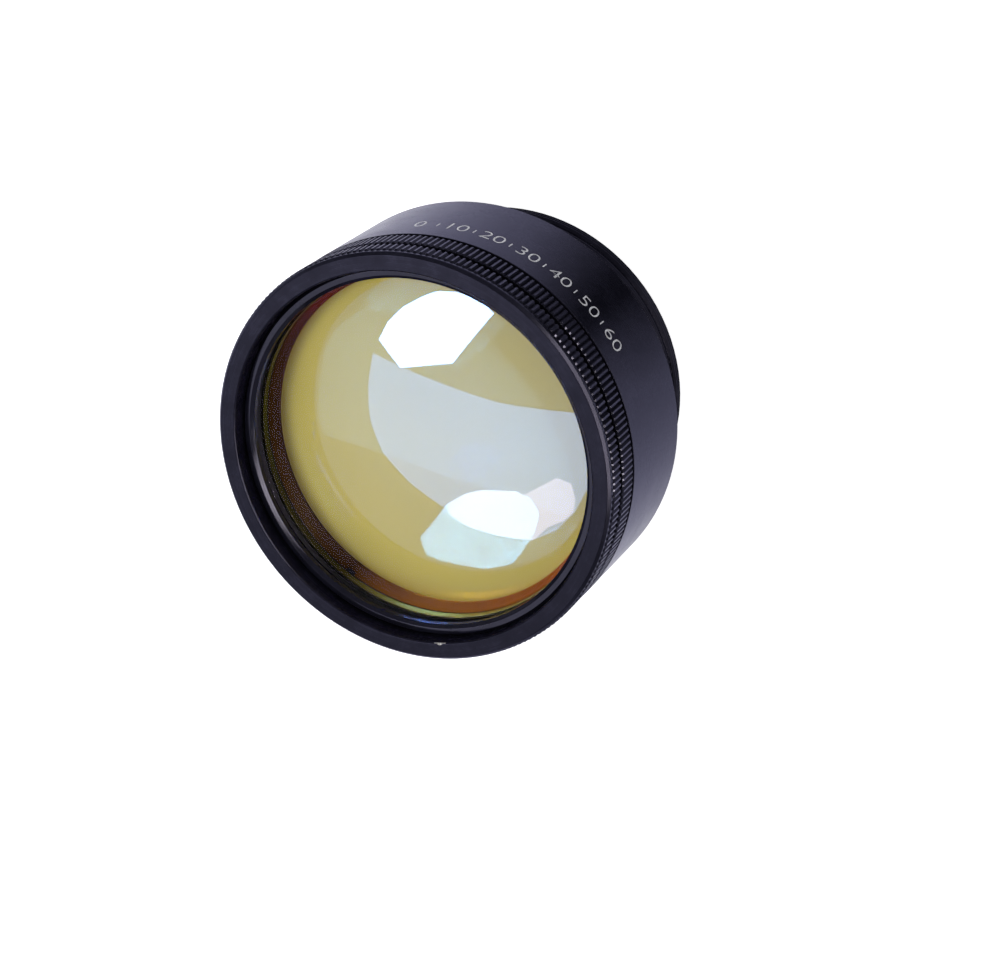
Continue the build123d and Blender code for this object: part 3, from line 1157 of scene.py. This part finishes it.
# Outlines of the softboxes in metres, as (width, height) from each one's middle.
KEY_OUTLINE = [
    (-0.211, -0.070), (-0.129, -0.141), (-0.030, -0.114), (0.057, -0.092), (0.122, -0.001),
    (0.188, 0.090), (0.139, 0.124), (0.056, 0.134), (-0.013, 0.123), (-0.057, 0.101),
    (-0.131, 0.049), (-0.181, -0.008),
]
INNER_KEY_OUTLINE = [
    (0.201, 0.087), (0.175, 0.141), (0.125, 0.144), (-0.036, 0.118), (-0.140, 0.070),
    (-0.201, -0.027), (-0.227, -0.088), (-0.234, -0.134), (-0.190, -0.167), (-0.125, -0.169),
    (0.000, -0.133), (0.058, -0.103), (0.116, -0.053),
]
WIDE_OUTLINE = [
    (-0.503, 0.088), (-0.489, -0.038), (-0.452, -0.163), (-0.378, -0.262), (-0.257, -0.327),
    (-0.124, -0.369), (-0.032, -0.416), (0.091, -0.418), (0.212, -0.403), (0.295, -0.342),
    (0.362, -0.244), (0.417, -0.095), (0.432, 0.078), (0.420, 0.180), (0.290, 0.161),
    (0.037, 0.120), (-0.230, 0.106),
]
INNER_WIDE_OUTLINE = [
    (0.050, -0.950), (0.288, -0.544), (0.343, -0.352), (0.375, -0.188), (0.445, -0.052),
    (0.478, 0.065), (0.479, 0.148), (0.459, 0.292), (0.426, 0.425), (0.372, 0.507),
    (0.154, 0.421), (-0.119, 0.311), (-0.621, 0.041), (-0.900, -0.300), (-0.700, -0.800),
]
WARM_OUTLINE = [
    (-0.232, -0.091), (-0.182, -0.015), (-0.128, 0.032), (-0.017, 0.083), (0.016, 0.081),
    (0.111, 0.193), (0.167, 0.188), (0.193, 0.128), (0.194, 0.072), (0.166, 0.028),
    (0.120, -0.015), (0.079, -0.089), (-0.031, -0.121), (-0.148, -0.140), (-0.214, -0.129),
]
SIDE_OUTLINE = [(-0.70, -0.09), (0.70, -0.09), (0.70, 0.09), (-0.70, 0.09)]

# Radiances of the softboxes.
KEY_WHITE = (19, 19, 19)
WIDE_WHITE = (2.6, 2.6, 2.6)
WARM_LIGHT = (10.5, 5.6, 4.0)
SIDE_LIGHT = (36, 34, 28)

# Rays that miss a softbox.
OUTER_MISSED = ("transmission",)
INNER_MISSED = ("diffuse", "glossy", "shadow")
WARM_MISSED = ("diffuse", "transmission", "shadow", "satin")
SIDE_MISSED = ("diffuse",)

SIDE_WIDTH = Vector((0, 1, 0.20))

# Each softbox: name, outline, direction, distance, radiance, rays that miss it, and its width's direction
# where that isn't the camera's. The key and the wide one hang twice: once for what the front face mirrors,
# once for what the face behind it mirrors.
SOFTBOXES = (
    ("key_softbox", KEY_OUTLINE, (-0.383, 0.052, 0.922), 1.0, KEY_WHITE, OUTER_MISSED),
    ("inner_key_softbox", INNER_KEY_OUTLINE, (-0.525, -0.0209, 0.8509), 1.0, KEY_WHITE, INNER_MISSED),
    ("wide_softbox", WIDE_OUTLINE, (-0.2712, -0.2607, 0.9265), 1.15, WIDE_WHITE, OUTER_MISSED),
    ("inner_wide_softbox", INNER_WIDE_OUTLINE, (-0.508, -0.4277, 0.7477), 1.15, WIDE_WHITE, INNER_MISSED),
    ("warm_softbox", WARM_OUTLINE, (-0.2264, -0.5138, 0.8275), 1.14, WARM_LIGHT, WARM_MISSED),
    ("side_softbox", SIDE_OUTLINE, (0.857, 0, 0.515), 1.1, SIDE_LIGHT, SIDE_MISSED, SIDE_WIDTH),
)


class SCANLENS_OT_stage(bpy.types.Operator):
    """Lay the pale floor, hang the softboxes and set up the camera"""

    bl_idname = "scanlens.stage"
    bl_label = "Floor, lamps and camera"

    def execute(self, context):
        self.floor()
        self.sky()
        for softbox in SOFTBOXES:
            self.softbox(*softbox)
        self.fill_lamp()
        self.dark_card()
        self.camera()
        context.scene.view_settings.view_transform = "Standard"
        return {"FINISHED"}

    def floor(self):
        deselect()
        bpy.ops.mesh.primitive_circle_add(vertices=64, radius=FLOOR_R, fill_type="NGON")
        floor = bpy.context.object
        floor.name = "floor"
        nodes = Nodes("pale_floor")
        diffuse = nodes.add("ShaderNodeBsdfDiffuse", {"Color": FLOOR_GREY}).outputs["BSDF"]
        inputs = {"Color": (1, 1, 1, 1), "Strength": white_share(nodes)}
        glow = nodes.add("ShaderNodeEmission", inputs).outputs["Emission"]
        floor.data.materials.append(
            nodes.surface(nodes.add("ShaderNodeAddShader", {0: diffuse, 1: glow}).outputs["Shader"])
        )

    def sky(self):
        world = bpy.data.worlds.new("studio")
        bpy.context.scene.world = world
        world.use_nodes = True
        tree = world.node_tree
        tree.nodes.clear()
        out = tree.nodes.new("ShaderNodeOutputWorld")
        back = tree.nodes.new("ShaderNodeBackground")
        back.inputs["Color"].default_value = SKY_TINT
        back.inputs["Strength"].default_value = SKY_STRENGTH
        tree.links.new(back.outputs["Background"], out.inputs["Surface"])

    def place_before_rim(self, thing, way, distance, turn):
        """Hangs a lamp at a distance from the middle of the rim's face."""
        rim = Vector((0, 0, RIM_TOP))
        thing.matrix_world = Matrix.Translation(rim + way * distance) @ turn

    def softbox(self, name, outline, direction, distance, radiance, missed, across=CAMERA_RIGHT):
        """A glowing panel that faces the rim."""
        box = draw_outline(name, outline + outline[:1])
        edit_all()
        merge_doubles()
        bpy.ops.mesh.edge_face_add()
        end_edit()
        nodes = Nodes(name)
        strength = max(radiance)
        shown = strength
        if "satin" in missed:
            sharp = nodes.add("ShaderNodeLightPath").outputs["Is Singular Ray"]
            shown = nodes.sum("MULTIPLY", sharp, strength)
        inputs = {"Color": (*times(1 / strength, radiance), 1), "Strength": shown}
        box.data.materials.append(
            nodes.surface(nodes.add("ShaderNodeEmission", inputs).outputs["Emission"])
        )
        way = Vector(direction).normalized()
        width = (across - across.dot(way) * way).normalized()
        turn = Matrix((width, -way, way.cross(width))).transposed().to_4x4()
        self.place_before_rim(box, way, distance, turn)
        box.visible_camera = False
        for ray in {"diffuse", "glossy", "transmission", "shadow"} & set(missed):
            setattr(box, "visible_" + ray, False)

    def fill_lamp(self):
        """A lamp that evens out the light and isn't mirrored."""
        size = 0.4
        radiance = 4.0
        light = bpy.data.lights.new("fill_lamp", "AREA")
        light.size = size
        light.energy = radiance * math.pi * size * size
        lamp = bpy.data.objects.new("fill_lamp", light)
        bpy.context.scene.collection.objects.link(lamp)
        way = Vector((-0.65, -0.35, 0.67)).normalized()
        self.place_before_rim(lamp, way, 1.2, way.to_track_quat("Z", "Y").to_matrix().to_4x4())
        lamp.visible_glossy = False
        lamp.visible_transmission = False

    def dark_card(self):
        """A black card beside the tail, thin towards its sides, that the barrel mirrors."""
        deselect()
        bpy.ops.mesh.primitive_plane_add(size=1)
        card = bpy.context.object
        card.name = "dark_card"
        side = math.radians(35)
        distance = 0.097
        card.scale = (0.09, 0.075, 1)
        card.rotation_euler = (0, 0, side)
        card.location = (distance * math.cos(side), distance * math.sin(side), 0.001)
        nodes = Nodes("dark_card")
        parts = nodes.add("ShaderNodeSeparateXYZ", {"Vector": nodes.place()})
        across = nodes.sum("ABSOLUTE", parts.outputs["Y"], 0.0)
        black = nodes.add("ShaderNodeBsdfDiffuse", {"Color": (0.02, 0.02, 0.03, 1)}).outputs["BSDF"]
        clear = nodes.add("ShaderNodeBsdfTransparent").outputs["BSDF"]
        thin = nodes.spread(across, 0.0, 1.0, 0.05, 0.5)
        card.data.materials.append(nodes.surface(nodes.mix(thin, black, clear)))
        card.visible_camera = False
        card.visible_shadow = False
        card.visible_diffuse = False

    def camera(self):
        data = bpy.data.cameras.new("camera")
        camera = bpy.data.objects.new("camera", data)
        bpy.context.scene.collection.objects.link(camera)
        data.lens = CAMERA_LENS
        data.sensor_width = 36
        data.clip_start = 0.01
        camera.location = CAMERA_PLACE + Vector((0, 0, RIM_TOP))
        camera.rotation_euler = [math.radians(a) for a in CAMERA_TURN]
        bpy.context.scene.camera = camera


class SCANLENS_PT_panel(bpy.types.Panel):
    """The pieces and the stage, in the order that they are made"""

    bl_label = "Scan lens"
    bl_space_type = "VIEW_3D"
    bl_region_type = "UI"
    bl_category = "Scan lens"

    def draw(self, context):
        for operator in PIECES:
            self.layout.operator(operator.bl_idname)


PIECES = (
    SCANLENS_OT_barrel,
    SCANLENS_OT_window_cell,
    SCANLENS_OT_rings,
    SCANLENS_OT_glass,
    SCANLENS_OT_inner,
    SCANLENS_OT_scale,
    SCANLENS_OT_stage,
)
GROUPS = {
    "scan_lens_housing": ScanLensHousing,
    "scan_lens_glass": ScanLensGlass,
    "scan_lens_scale": ScanLensScale,
}


def register():
    """Registers the settings, the operators and the panel."""
    for name, group in GROUPS.items():
        bpy.utils.register_class(group)
        setattr(bpy.types.Scene, name, PointerProperty(type=group))
    for operator in PIECES:
        bpy.utils.register_class(operator)
    bpy.utils.register_class(SCANLENS_PT_panel)


def unregister():
    """Removes what register added."""
    bpy.utils.unregister_class(SCANLENS_PT_panel)
    for operator in reversed(PIECES):
        bpy.utils.unregister_class(operator)
    for name, group in GROUPS.items():
        delattr(bpy.types.Scene, name)
        bpy.utils.unregister_class(group)


def main():
    """Makes every piece in order."""
    register()
    for operator in PIECES:
        group, name = operator.bl_idname.split(".")
        getattr(getattr(bpy.ops, group), name)()
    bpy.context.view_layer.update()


if __name__ == "__main__":
    main()
